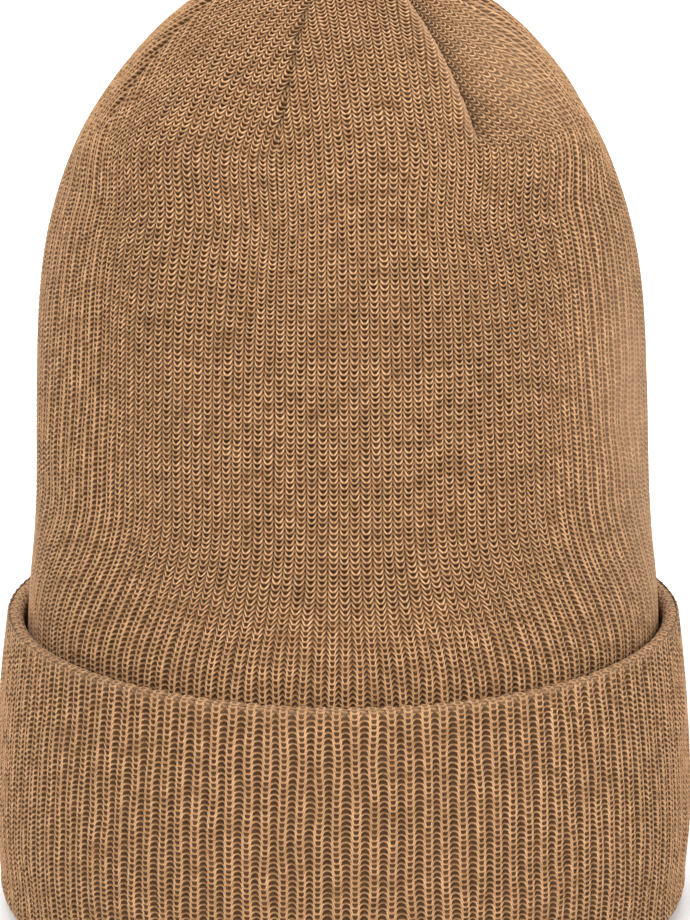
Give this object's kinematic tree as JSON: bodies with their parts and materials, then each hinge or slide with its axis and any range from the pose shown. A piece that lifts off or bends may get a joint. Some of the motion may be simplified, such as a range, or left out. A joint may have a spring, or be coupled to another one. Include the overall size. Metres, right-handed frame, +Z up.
{
  "type": "knitted beanie hat",
  "caption": "Double-layer rib-knit beanie with a turned-up cuff, a crown closed by sewn darts, and an inner lining of the same knit.",
  "frame": {"origin": "the middle of the surface that the turned rim stands on", "axes": "+Z up through the crown's tip; the front faces -Y; +X is the wearer's left when worn facing -Y"},
  "size_m": [0.1588, 0.1714, 0.221],
  "materials": {
    "knit": "matt fine-gauge rib knit in camel yarn, with a soft fibre sheen",
    "sewing_thread": "matt twisted thread, a shade darker than the knit",
    "label_tape": "smooth woven satin tape, blank"
  },
  "bodies": {
    "hat": {"shell_tube": "knit", "crown_gore_1": "knit", "crown_gore_2": "knit", "crown_gore_3": "knit", "crown_gore_4": "knit", "crown_gore_5": "knit", "crown_gore_6": "knit", "dart_seam_1": "sewing_thread", "dart_seam_2": "sewing_thread", "dart_seam_3": "sewing_thread", "dart_seam_4": "sewing_thread", "dart_seam_5": "sewing_thread", "dart_seam_6": "sewing_thread", "crown_tack": "sewing_thread", "lining_tube": "knit", "lining_gore_1": "knit", "lining_gore_2": "knit", "lining_gore_3": "knit", "lining_gore_4": "knit", "lining_gore_5": "knit", "lining_gore_6": "knit", "lining_seam_1": "sewing_thread", "lining_seam_2": "sewing_thread", "lining_seam_3": "sewing_thread", "lining_seam_4": "sewing_thread", "lining_seam_5": "sewing_thread", "lining_seam_6": "sewing_thread", "lining_tack": "sewing_thread", "label_stitch": "sewing_thread"},
    "rim": {"rim_fold_face": "knit", "rim_fold_back": "knit", "cuff_face": "knit", "cuff_back": "knit"},
    "hem": {"hem_fold": "knit"},
    "label": {"care_label": "label_tape"}
  },
  "joints": [
    {"name": "cuff_rim_down", "type": "slide", "parent": "hat", "child": "rim", "axis": [0, 0, -1], "range_m": [0, 0.025]},
    {"name": "cuff_hem_down", "type": "slide", "parent": "rim", "child": "hem", "axis": [0, 0, -1], "range_m": [0, 0.025], "deforming": ["cuff_face", "cuff_back"]},
    {"name": "label_swing", "type": "hinge", "parent": "hat", "child": "label", "pos_m": [0, 0.0641, 0.104], "axis": [-1, 0, 0], "range_deg": [0, 85]}
  ],
  "couplings": [
    {"joint": "cuff_hem_down", "follows": "cuff_rim_down", "ratio": 1}
  ]
}
